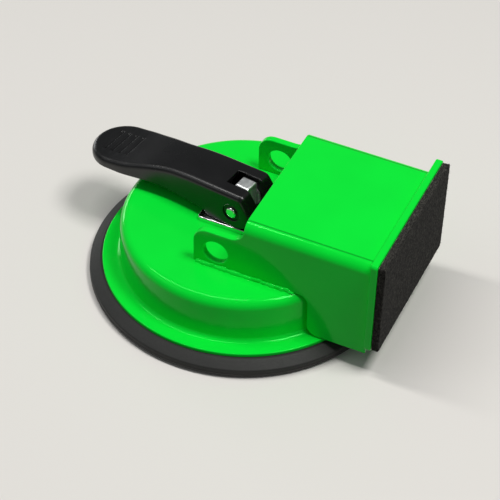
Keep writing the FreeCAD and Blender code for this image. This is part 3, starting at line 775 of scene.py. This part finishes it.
@dataclass
class Cup:
    """The rubber pad, its pressed hood and what the hood carries.

    Args:
        paint_round: How far paint rounds the hood's cut edges.
        plate_round: Rounding of the wear plate's edges.
        edge_height: Height of the pad's outer edge.
        lip_round: Rounding of the pad's outer edge.
        parting: How far the mould's parting line stands out.
        parting_half: Its half width.
        parting_share: Its height, as a share of the edge's.
        grooves: Distances of the sealing grooves from the pad's edge.
        groove_depth: Depth of a sealing groove.
        groove_mouth: Half width of a groove at its mouth.
        groove_floor: Half width of a groove's floor.
        bevel: Run and height of the sealing lip's bevel.
        insert_gap: From the insert plate to the rubber.
        collar_width: Radial width of the rubber collar round the insert plate.
        collar_run: Radial run of the collar's outer slope.
        turn_steps: Segments of the pad in one turn.
    """

    paint_round: float = 0.25 * MM
    plate_round: float = 0.2 * MM
    edge_height: float = 3.8 * MM
    lip_round: float = 0.9 * MM
    parting: float = 0.12 * MM
    parting_half: float = 0.2 * MM
    parting_share: float = 0.52
    grooves: Point = (9.0 * MM, 4.5 * MM)
    groove_depth: float = 0.7 * MM
    groove_mouth: float = 0.8 * MM
    groove_floor: float = 0.35 * MM
    bevel: Point = (1.0 * MM, 0.9 * MM)
    insert_gap: float = 0.2 * MM
    collar_width: float = 4.2 * MM
    collar_run: float = 5.8 * MM
    turn_steps: int = 256

    def pad_profile(self) -> list[Point]:
        """The rubber pad from the middle of its underside round to its middle on top."""
        low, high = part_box("suction_pad")
        hood_low, hood_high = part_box("hood")
        insert_low, insert_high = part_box("pad_insert_plate")
        flange, seat, foot = hood_high.x, hood_low.z, low.z
        edge, collar_top = high.x, high.z
        side = edge - self.parting
        recess = insert_high.x + self.insert_gap
        collar = recess + self.collar_width
        middle = self.edge_height * self.parting_share
        corners = [(0.0, foot, 0.0)]
        for inset in self.grooves:
            groove = edge - inset
            corners += [
                (groove - self.groove_mouth, foot, 0.25 * MM),
                (groove - self.groove_floor, self.groove_depth, 0.15 * MM),
                (groove + self.groove_floor, self.groove_depth, 0.15 * MM),
                (groove + self.groove_mouth, foot, 0.25 * MM),
            ]
        corners += [
            (edge - self.bevel[0], foot, 0.3 * MM),
            (edge - 0.25 * MM, self.bevel[1], 0.3 * MM),
            (side, middle - self.parting_half, 0.0),
            (edge, middle, 0.0),
            (side, middle + self.parting_half, 0.0),
            (side, self.edge_height, self.lip_round),
            (flange + 0.9 * MM, seat - 0.15 * MM, 0.5 * MM),
            (flange - 0.5 * MM, seat, 0.1 * MM),
            (collar + self.collar_run, seat, 1.5 * MM),
            (collar, collar_top, 0.5 * MM),
            (recess, collar_top, 0.4 * MM),
            (recess, insert_low.z - self.insert_gap, 0.1 * MM),
            (0.0, insert_low.z - self.insert_gap, 0.0),
        ]
        return rounded(corners)

    def build(self) -> None:
        """Builds the pad, rounds the hood's and the wear plate's edges, dresses the rivets."""
        mesh = mesh_from("rubber_pad", lathe(self.pad_profile(), self.turn_steps), smooth=50.0)
        pad = new_object("rubber_pad", mesh, RUBBER, Body.BASE)
        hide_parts("suction_pad")
        hood = new_object("hood_soft", softened("hood", self.paint_round), GREEN, Body.BASE)
        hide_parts("hood")
        mesh = softened("wear_plate", self.plate_round, flat=0.0)
        plate = new_object("wear_plate_soft", mesh, CHROME, Body.BASE)
        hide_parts("wear_plate")
        dress("wear_plate_rivets", ZINC)


@dataclass
class Spindle:
    """The square stem, what it carries under the hood and the bush that guides it.

    Args:
        travel: How far the stem rises when the lever is raised; not used.
        head_round: Rounding of the stem's edges.
    """

    travel: float = 2.2 * MM
    head_round: float = 0.35 * MM

    def spring(self) -> None:
        """The return spring, as a copy of its node's mesh on a mesh of its own."""
        mesh = merged("return_spring")
        wire = new_object("return_spring_wire", mesh, WIRE, Body.SWIVEL)
        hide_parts("return_spring")
        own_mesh(wire)

    def build(self) -> None:
        """Gives the stem's head rounded edges, and dresses the pieces round it."""
        stem = new_object("stem_soft", softened("stem", self.head_round), BRIGHT, Body.STEM)
        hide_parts("stem")
        self.spring()
        for node in ("guide_bush", "pad_insert_plate", "spring_seat"):
            dress(node, ZINC)


@dataclass
class HandLever:
    """The hand lever with its pin, bushes and spacers.

    Args:
        edge: Rounding of the lever's edges.
        sharp: Edges that turn by more than this many degrees are rounded.
    """

    edge: float = 0.35 * MM
    sharp: float = 40.0

    def build(self) -> None:
        """Rounds the lever's edges and dresses the pivot."""
        mesh = softened("lever", self.edge, self.sharp)
        lever = new_object("lever_soft", mesh, BLACK, Body.LEVER)
        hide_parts("lever")
        dress("pivot_pin", CHROME)
        dress("cheek_bush_near", BLACK_STEEL)
        dress("cheek_bush_far", BLACK_STEEL)
        dress("spacer_washers", ZINC)


@dataclass
class BoxBracket:
    """The folded bracket with its welds, its strike plate and the adhesive on that.

    Args:
        paint_round: How far paint rounds the cut edges of the sheet.
        plate_round: How far paint rounds the strike plate's edges.
        fold_inset: From the bracket's side to the press mark beside the fold.
        bead_thick: Radius of a weld bead, as a share of its node's height.
        hood_flat: Radius of the hood's flat top.
        hood_bend: Radius of the bend round it.
        weld_over: How far a bead runs past the hood's flat top.
        weld_steps: Points along a bead's path.
        seed: Seed of the beads' unevenness.
    """

    paint_round: float = 0.4 * MM
    plate_round: float = 0.25 * MM
    fold_inset: float = 3.6 * MM
    bead_thick: float = 0.95
    hood_flat: float = 43.6 * MM
    hood_bend: float = 4.0 * MM
    weld_over: float = 1.2 * MM
    weld_steps: int = 60
    seed: int = 7

    def build(self) -> None:
        """Builds the bracket's pieces."""
        low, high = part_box("bracket_channel")
        fold, floor = high.y - self.fold_inset, high.z - self.fold_inset
        paint = (GREEN.slot, GREEN.color, GREEN.roughness)
        folded = FoldedCoat("green coat on folded sheet", *paint, fold=fold, floor=floor)
        mesh = softened("bracket_channel", self.paint_round)
        channel = new_object("bracket_soft", mesh, folded, Body.BASE)
        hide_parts("bracket_channel")
        mesh = softened("strike_plate", self.plate_round)
        plate = new_object("strike_plate_soft", mesh, GREEN, Body.BASE)
        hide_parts("strike_plate")
        dress("plate_weld", GREEN)
        for side in Side:
            self.weld_bead(side)
        dress("strike_adhesive", GLUE)

    def weld_path(self, side: Side) -> list[Vector]:
        """The line in the corner at an ear's foot that its weld follows.

        Args:
            side: The ear's side.

        Returns:
            Points from the ear's back end to just over the hood's upper bend.
        """
        low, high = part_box("ear_weld_" + side.value)
        root = high.y if side is Side.NEAR else low.y
        end = math.sqrt(self.hood_flat**2 - root**2) + self.weld_over
        start = low.x + 0.5 * (high.z - low.z)
        points = []
        for step in range(self.weld_steps + 1):
            x = start + (end - start) * step / self.weld_steps
            out = max(0.0, math.hypot(x, root) - self.hood_flat)
            drop = self.hood_bend - math.sqrt(self.hood_bend**2 - out**2)
            points.append(Vector((x, root, low.z - drop)))
        return points

    def weld_bead(self, side: Side) -> None:
        """Lays one uneven bead along the foot of an ear.

        Args:
            side: The ear's side.
        """
        node = "ear_weld_" + side.value
        low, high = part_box(node)
        line = bpy.data.meshes.new(node + "_line")
        points = self.weld_path(side)
        line.from_pydata(points, [(i, i + 1) for i in range(len(points) - 1)], [])
        values = {
            "Radius": self.bead_thick * (high.z - low.z),
            "Seed": self.seed + len(side.value),
            "Material": material_of(GREEN),
        }
        mesh = grown(node + "_bead", line, bead_tree(), values)
        bead = new_object(node + "_bead", mesh, GREEN, Body.BASE)
        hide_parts(node)


def tree_with(name: str, **inputs: str) -> tuple[Graph, bpy.types.Node]:
    """Starts a geometry tree with named inputs.

    Args:
        name: Name of the tree.
        inputs: Socket kind of each named input, such as "Float".

    Returns:
        The graph and its input node.
    """
    tree = bpy.data.node_groups.new(name, "GeometryNodeTree")
    graph = Graph(tree)
    tree.interface.new_socket("Geometry", in_out="INPUT", socket_type="NodeSocketGeometry")
    for label, kind in inputs.items():
        tree.interface.new_socket(label, in_out="INPUT", socket_type="NodeSocket" + kind)
    tree.interface.new_socket("Geometry", in_out="OUTPUT", socket_type="NodeSocketGeometry")
    return graph, graph.node("NodeGroupInput")


@cache
def bead_tree() -> bpy.types.NodeTree:
    """A weld bead: a line of uneven thickness with clusters of spatter drops along it."""
    step, ripple, cluster = 0.3 * MM, 2.6 * MM, 7.0 * MM
    thinnest, thickest, facets, rings = 0.7, 1.1, 12, 8
    least_drift = (-0.4 * MM, -0.45 * MM, 0.1 * MM)
    most_drift = (0.4 * MM, 0.45 * MM, 0.45 * MM)
    least_drop, most_drop = (0.7, 0.5, 0.5), (1.5, 0.95, 0.95)
    graph, given = tree_with("weld bead", Radius="Float", Seed="Int", Material="Material")
    radius, seed = given.outputs["Radius"], given.outputs["Seed"]
    line = graph.node("GeometryNodeMeshToCurve", {"Mesh": given.outputs["Geometry"]})
    path = graph.node(
        "GeometryNodeResampleCurve", {"Curve": line.outputs["Curve"], "Length": step}, mode="LENGTH"
    )
    place = graph.node("GeometryNodeInputPosition").outputs["Position"]
    uneven = graph.remap(
        graph.seeded_noise(place, ripple, seed), thinnest, thickest, span=(0.35, 0.65)
    )
    ring = {"Resolution": facets, "Radius": radius}
    girth = graph.node("GeometryNodeCurvePrimitiveCircle", ring)
    bead = graph.node(
        "GeometryNodeCurveToMesh",
        {
            "Curve": path.outputs["Curve"],
            "Profile Curve": girth.outputs["Curve"],
            "Scale": uneven,
            "Fill Caps": True,
        },
    )
    spaced = {"Curve": line.outputs["Curve"], "Length": 3 * step}
    spots = graph.node("GeometryNodeCurveToPoints", spaced, mode="LENGTH")
    clustered = graph.node(
        "FunctionNodeCompare",
        {"A": graph.seeded_noise(place, cluster, seed), "B": 0.5},
        data_type="FLOAT",
        operation="GREATER_THAN",
    )
    drift = graph.random_vector(least_drift, most_drift, seed)
    moved = graph.node(
        "GeometryNodeSetPosition", {"Geometry": spots.outputs["Points"], "Offset": drift}
    )
    drop = graph.node(
        "GeometryNodeMeshUVSphere", {"Segments": facets, "Rings": rings, "Radius": radius}
    )
    drops = graph.node(
        "GeometryNodeInstanceOnPoints",
        {
            "Points": moved.outputs["Geometry"],
            "Selection": clustered.outputs["Result"],
            "Instance": drop.outputs["Mesh"],
            "Scale": graph.random_vector(least_drop, most_drop, seed),
        },
    )
    both = graph.node("GeometryNodeJoinGeometry")
    graph.tree.links.new(bead.outputs["Mesh"], both.inputs[0])
    graph.tree.links.new(drops.outputs["Instances"], both.inputs[0])
    graph.finish_mesh(both.outputs["Geometry"], given.outputs["Material"])
    return graph.tree


@cache
def fibre_tree() -> bpy.types.NodeTree:
    """Loose fibres that stand and lie on a surface, spread evenly over it."""
    bow_out, bow_up, lean, shortest, longest, facets = 0.45, 0.5, 1.45, 0.4, 1.25, 3
    sizes = {"Density": "Float", "Length": "Float", "Thickness": "Float"}
    graph, given = tree_with("loose fibres", **sizes, Seed="Int", Material="Material")
    length, seed = given.outputs["Length"], given.outputs["Seed"]
    points = graph.node(
        "GeometryNodeDistributePointsOnFaces",
        {"Mesh": given.outputs["Geometry"], "Density": given.outputs["Density"], "Seed": seed},
    )
    reach = graph.node("ShaderNodeCombineXYZ", {"Z": length})
    out = graph.math("MULTIPLY", length, bow_out)
    bow = graph.node(
        "ShaderNodeCombineXYZ", {"X": out, "Z": graph.math("MULTIPLY", length, bow_up)}
    )
    strand = graph.node(
        "GeometryNodeCurveQuadraticBezier",
        {
            "Resolution": facets,
            "Start": (0.0, 0.0, 0.0),
            "Middle": bow.outputs[0],
            "End": reach.outputs[0],
        },
    )
    girth = graph.node(
        "GeometryNodeCurvePrimitiveCircle",
        {"Resolution": facets, "Radius": given.outputs["Thickness"]},
    )
    hair = graph.node(
        "GeometryNodeCurveToMesh",
        {
            "Curve": strand.outputs["Curve"],
            "Profile Curve": girth.outputs["Curve"],
            "Fill Caps": True,
        },
    )
    tilt = graph.random_vector((-lean, -lean, -math.pi), (lean, lean, math.pi), seed)
    spin = graph.node("FunctionNodeEulerToRotation", {"Euler": tilt})
    leaning = graph.node(
        "FunctionNodeRotateRotation",
        {"Rotation": points.outputs["Rotation"], "Rotate By": spin.outputs["Rotation"]},
        rotation_space="LOCAL",
    )
    size = graph.node(
        "FunctionNodeRandomValue", {2: shortest, 3: longest, "Seed": seed}, data_type="FLOAT"
    )
    hairs = graph.node(
        "GeometryNodeInstanceOnPoints",
        {
            "Points": points.outputs["Points"],
            "Instance": hair.outputs["Mesh"],
            "Rotation": leaning.outputs["Rotation"],
            "Scale": size.outputs[1],
        },
    )
    graph.finish_mesh(hairs.outputs["Instances"], given.outputs["Material"])
    return graph.tree


@dataclass(frozen=True)
class Wear:
    """Uneven wear of a felt surface.

    Args:
        depth: How far the surface wanders.
        coarse: Size of the coarse waves.
        fine: Size of the fine waves.
        share: Height of the fine waves, as a share of the coarse ones'.
        level: Wear at the waves' middle, as a share of the depth.
    """

    depth: float
    coarse: float
    fine: float
    share: float
    level: float

    def at(self, place: Vector) -> float:
        """The wear at a point, as a share of the depth."""
        waves = noise.noise(place / self.coarse) + self.share * noise.noise(place / self.fine)
        return max(0.0, self.level + waves)


@dataclass
class FeltPad:
    """The felt glued to the strike plate's face.

    Args:
        cell: Spacing of the surface's grid.
        corner: Radius of its upright corners, seen from the front.
        edge: Rounding of its cut edges.
        slope: How steeply the rounded edge falls.
        tear: Wear of the cut sides.
        nap: Wear of the face.
        density: Loose fibres for each square metre.
        fibre: Length of a loose fibre.
        strand: Radius of a fibre.
        seed: Seed of the fibres.
    """

    cell: float = 0.45 * MM
    corner: float = 1.1 * MM
    edge: float = 0.4 * MM
    slope: float = 0.4
    tear: Wear = Wear(depth=0.45 * MM, coarse=1.6 * MM, fine=0.6 * MM, share=0.6, level=0.5)
    nap: Wear = Wear(depth=0.1 * MM, coarse=1.1 * MM, fine=0.5 * MM, share=0.5, level=0.6)
    density: float = 5.5e5
    fibre: float = 0.75 * MM
    strand: float = 0.022 * MM
    seed: int = 11

    def block(self) -> bmesh.types.BMesh:
        """The felt's body: a gridded block with uneven faces and ragged cut sides."""
        low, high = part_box("strike_felt")
        size = high - low
        counts = [max(2, round(size[axis] / self.cell)) for axis in range(3)]
        work = bmesh.new()
        bmesh.ops.create_cube(work, size=1.0)
        for axis in range(3):
            runs = {e: e.verts[0].co - e.verts[1].co for e in work.edges}
            edges = [
                e
                for e, run in runs.items()
                if abs(run[axis]) > 0.5 / counts[0] and abs(run.normalized()[axis]) > 0.9
            ]
            bmesh.ops.subdivide_edges(work, edges=edges, cuts=counts[axis] - 1, use_grid_fill=True)
        middle, half = (low + high) / 2, size / 2
        for vert in work.verts:
            place = Vector([vert.co[k] * size[k] for k in range(3)])
            vert.co = middle + self.worn(place, half)
        return work

    def worn(self, place: Vector, half: Vector) -> Vector:
        """Rounds and roughens one point of the block.

        Args:
            place: The point, from the block's middle.
            half: Half the block's size.

        Returns:
            Where the point goes, from the block's middle.
        """
        side = Vector((0.0, place.y, place.z))
        inner = Vector(
            (
                0.0,
                max(-half.y + self.corner, min(half.y - self.corner, place.y)),
                max(-half.z + self.corner, min(half.z - self.corner, place.z)),
            )
        )
        out = side - inner
        if out.length > self.corner:
            side = inner + out.normalized() * self.corner
        if out.length > 0.98 * self.corner:
            side -= out.normalized() * self.tear.depth * self.tear.at(place)
        depth = place.x
        front = half.x - place.x
        if front < self.edge and out.length > self.corner * 0.6:
            depth -= (self.edge - front) * self.slope
        if front < 1e-6:
            depth -= self.nap.depth * self.nap.at(place)
        return Vector((depth, side.y, side.z))

    def loose(self, felt: bpy.types.Object) -> Mesh:
        """The loose fibres over the felt's body.

        Args:
            felt: The felt's body.

        Returns:
            All the fibres as one mesh.
        """
        values = {
            "Density": self.density,
            "Length": self.fibre,
            "Thickness": self.strand,
            "Seed": self.seed,
            "Material": material_of(FELT),
        }
        return grown("felt_fibres", felt.data, fibre_tree(), values)

    def build(self) -> None:
        """Builds the felt's body and the loose fibres on it."""
        mesh = mesh_from("felt_pad", self.block(), smooth=80.0)
        felt = new_object("felt_pad", mesh, FELT, Body.BASE)
        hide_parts("strike_felt")
        new_object("felt_fibres", self.loose(felt), FELT, Body.BASE)


# ---------------- studio


@dataclass(frozen=True)
class Lamp:
    """A soft rectangular lamp that faces the model.

    Args:
        name: Name of the lamp.
        place: Where it hangs, in metres.
        size: Its two sides in metres.
        power: Its power in watts.
        tint: Colour of its light.
    """

    name: str
    place: Triple
    size: Point
    power: float
    tint: Colour = (1.0, 0.99, 0.97)

    def hang(self, target: Vector) -> None:
        """Hangs the lamp, facing `target`, with its first side along X."""
        data = bpy.data.lights.new(self.name, "AREA")
        data.shape = "RECTANGLE"
        data.size, data.size_y = self.size
        data.energy = self.power
        data.color = self.tint
        made = placed(self.name, data)
        made.visible_camera = False
        where = Vector(self.place)
        back = (where - target).normalized()
        side = (Vector((1.0, 0.0, 0.0)) - back * back.x).normalized()
        facing = Matrix((side, back.cross(side), back)).transposed()
        made.matrix_world = Matrix.Translation(where) @ facing.to_4x4()


@dataclass
class Studio:
    """Floor, lamps and camera.

    Args:
        target: Point that the camera looks at.
        azimuth: Turn of the camera round Z in degrees, 0 looking along +Y.
        elevation: Degrees above the horizon.
        roll: Turn of the camera about its own axis in degrees.
        distance: From the target to the camera.
        lens: Focal length in millimetres.
        sensor: Width of the camera's sensor in millimetres.
        floor_color: The floor as it is seen.
        floor_bounce: The floor as it lights the model.
        floor_gap: How far the floor lies under the model.
        floor_reach: Half the floor's side.
        surround: Strength of the plain grey surround.
        surround_color: Its colour.
        lamps: The lamps over the model.
    """

    target: Triple = (0.0101, -0.0172, 0.0274)
    azimuth: float = 23.84
    elevation: float = 43.25
    roll: float = 1.66
    distance: float = 0.7166
    lens: float = 138.0
    sensor: float = 36.0
    floor_color: Colour = (0.72, 0.7, 0.67)
    floor_bounce: Colour = (0.2, 0.19, 0.17)
    floor_gap: float = 0.2 * MM
    floor_reach: float = 3.0
    surround: float = 0.18
    surround_color: Colour = (0.95, 0.98, 1.0)
    lamps: tuple[Lamp, ...] = (
        Lamp("key", (0.42, -0.02, 1.05), (0.3, 0.3), 7.0),
        Lamp("strip", (-0.36, -0.05, 1.1), (0.9, 0.1), 5.4),
        Lamp("rim", (-0.97, 0.5, 0.14), (0.4, 0.2), 1.5, (0.97, 0.99, 1.0)),
        Lamp("fill", (-0.7, -0.5, 0.8), (0.5, 0.5), 0.7, (0.95, 0.98, 1.0)),
    )

    def camera(self) -> None:
        """Places the camera."""
        turn, rise = math.radians(self.azimuth), math.radians(self.elevation)
        back = Vector(
            (math.sin(turn) * math.cos(rise), -math.cos(turn) * math.cos(rise), math.sin(rise))
        )
        data = bpy.data.cameras.new("camera")
        data.lens = self.lens
        data.sensor_width = self.sensor
        made = placed("camera", data)
        facing = (-back).to_track_quat("-Z", "Y").to_matrix()
        spun = facing @ Matrix.Rotation(math.radians(self.roll), 3, "Z")
        made.matrix_world = Matrix.Translation(
            Vector(self.target) + back * self.distance
        ) @ spun.to_4x4()
        bpy.context.scene.camera = made

    def floor(self) -> None:
        """Lays a plain pale floor, which lights the model less than it looks."""
        work = bmesh.new()
        bmesh.ops.create_grid(work, x_segments=1, y_segments=1, size=self.floor_reach)
        bmesh.ops.translate(work, verts=work.verts, vec=(0.0, 0.0, -self.floor_gap))
        mesh = mesh_from("floor", work)
        made = placed("floor", mesh)
        mesh.materials.append(self.floor_material())

    def floor_material(self) -> bpy.types.Material:
        """The floor's pale paint: pale where it is seen or mirrored, darker to other light."""
        material = bpy.data.materials.new("floor")
        material.use_nodes = True
        graph = Graph(material.node_tree)
        rays = graph.node("ShaderNodeLightPath")
        sight, through, mirrored = (
            rays.outputs[name]
            for name in ("Is Camera Ray", "Is Transmission Ray", "Is Glossy Ray")
        )
        shown = graph.math("MAXIMUM", graph.math("MAXIMUM", sight, through), mirrored)
        tone = graph.blend(shown, self.floor_bounce, self.floor_color)
        matte = graph.node("ShaderNodeBsdfDiffuse", {"Color": tone})
        graph.node("ShaderNodeOutputMaterial", {"Surface": matte.outputs["BSDF"]})
        return material

    def world(self) -> None:
        """A plain grey surround."""
        world = bpy.data.worlds.new("surround")
        world.use_nodes = True
        graph = Graph(world.node_tree)
        shade = graph.node(
            "ShaderNodeBackground",
            {"Color": (*self.surround_color, 1.0), "Strength": self.surround},
        )
        graph.node("ShaderNodeOutputWorld", {"Surface": shade.outputs["Background"]})
        bpy.context.scene.world = world

    def build(self) -> None:
        """Sets up the whole studio."""
        self.floor()
        self.world()
        for lamp in self.lamps:
            lamp.hang(Vector(self.target))
        self.camera()
        bpy.context.scene.view_settings.view_transform = "Standard"


def main() -> None:
    """Builds every sub-assembly in order, then the studio."""
    logging.basicConfig(level=logging.INFO, format="%(name)s %(message)s")
    for part in (Cup(), Spindle(), HandLever(), BoxBracket(), FeltPad(), Studio()):
        part.build()


if __name__ == "__main__":
    main()
